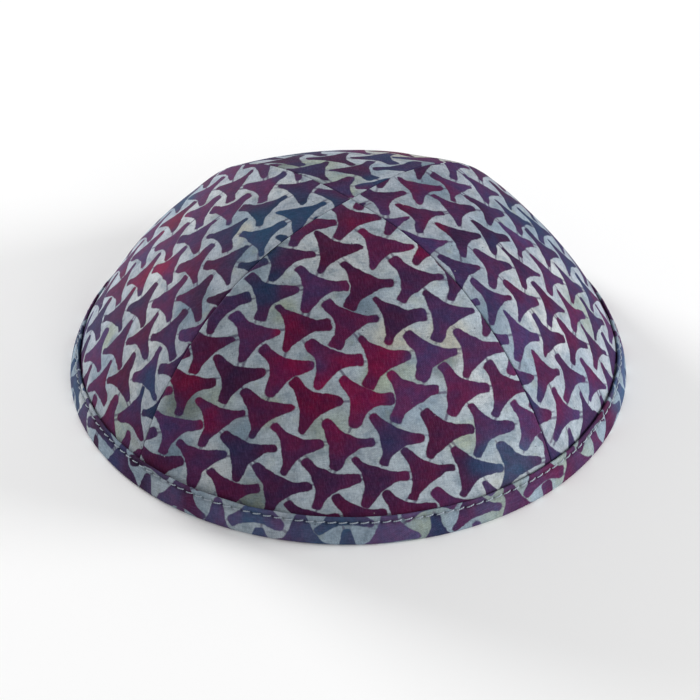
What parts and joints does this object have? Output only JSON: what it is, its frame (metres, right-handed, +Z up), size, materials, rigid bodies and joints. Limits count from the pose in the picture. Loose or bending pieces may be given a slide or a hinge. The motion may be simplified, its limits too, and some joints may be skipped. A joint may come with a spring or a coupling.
{
  "type": "kippah",
  "caption": "Soft dome-shaped head covering of printed cotton gores seamed from crown to rim, with a folded and topstitched band round its open lower edge.",
  "frame": {"origin": "middle of the rim, on the surface that the cap rests on", "axes": "+Z up through the crown, -Y towards the front gore, +X towards the right as seen from the front"},
  "size_m": [0.17, 0.17, 0.0612],
  "materials": {
    "printed_cotton": "wax-resist dyed plain-weave cotton, dark red, purple and blue figures on pale grey-green, matt",
    "band_cotton": "the same cotton cut as a strip, folded and pressed, matt",
    "stitching_thread": "blue-grey spun sewing thread"
  },
  "bodies": {
    "root": {"panel_front": "printed_cotton", "panel_right": "printed_cotton", "panel_back": "printed_cotton", "panel_left": "printed_cotton", "rim_band": "band_cotton"}
  },
  "joints": []
}
